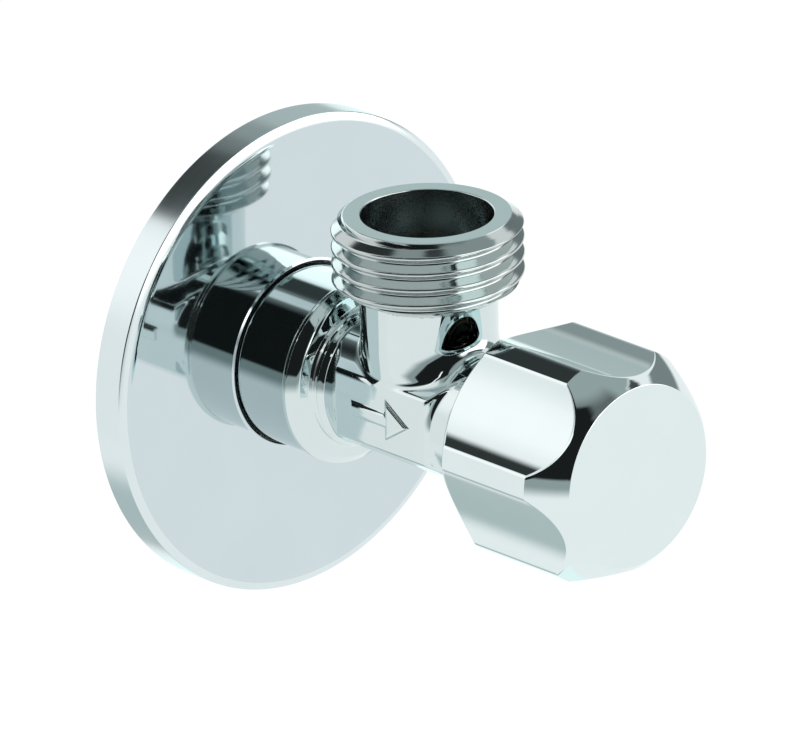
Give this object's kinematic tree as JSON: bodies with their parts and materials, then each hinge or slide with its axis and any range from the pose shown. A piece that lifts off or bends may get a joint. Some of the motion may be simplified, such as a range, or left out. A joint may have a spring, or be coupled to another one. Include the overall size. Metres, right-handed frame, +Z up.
{
  "type": "angle stop valve",
  "caption": "Chromed angle stop valve: threaded inlet through a sliding wall escutcheon, upright threaded outlet and a hexagonal handle that opens it.",
  "frame": {"origin": "on the inlet axis, in the plane of the wall that the escutcheon rests on", "axes": "+Y into the wall along the inlet, so the handle points along -Y; +Z up along the outlet"},
  "size_m": [0.0534, 0.069, 0.0534],
  "materials": {
    "chrome_body": "bright chrome plating on forged brass",
    "chrome_escutcheon": "bright mirror chrome plating on pressed sheet",
    "chrome_handle": "bright chrome plating on die-cast metal",
    "bare_brass": "turned, unplated",
    "stainless": "plain",
    "seal_rubber": "moulded black rubber",
    "fibre_gasket": "pressed fibre",
    "ptfe": "waxy white",
    "grip_plastic": "moulded grey",
    "insert_plastic": "moulded white"
  },
  "bodies": {
    "valve": {"valve_body": "chrome_body", "inlet_seal_ring": "ptfe", "inlet_strainer": "stainless", "headpart_housing": "bare_brass", "headpart_gasket": "fibre_gasket"},
    "escutcheon_assembly": {"escutcheon": "chrome_escutcheon", "escutcheon_grip_ring": "grip_plastic"},
    "handle_assembly": {"handle": "chrome_handle", "handle_insert": "insert_plastic", "insert_snap_ring": "stainless", "spindle": "bare_brass", "spindle_slip_washer": "ptfe", "spindle_o_ring_inner": "seal_rubber", "spindle_o_ring_outer": "seal_rubber", "spindle_circlip": "stainless"},
    "piston_assembly": {"valve_piston": "bare_brass", "piston_o_ring": "seal_rubber", "seat_washer": "seal_rubber", "seat_washer_plate": "stainless", "seat_washer_screw": "bare_brass"}
  },
  "joints": [
    {"name": "handle_turn", "type": "hinge", "parent": "valve", "child": "handle_assembly", "pos_m": [0, -0.045, 0], "axis": [0, -1, 0], "range_deg": [0, 1080]},
    {"name": "piston_lift", "type": "slide", "parent": "valve", "child": "piston_assembly", "axis": [0, -1, 0], "range_m": [0, 0.0045]},
    {"name": "escutcheon_slide", "type": "slide", "parent": "valve", "child": "escutcheon_assembly", "axis": [0, -1, 0], "range_m": [0, 0.0079]}
  ],
  "couplings": [
    {"joint": "piston_lift", "follows": "handle_turn", "m_per_rad": 0.00023873}
  ]
}
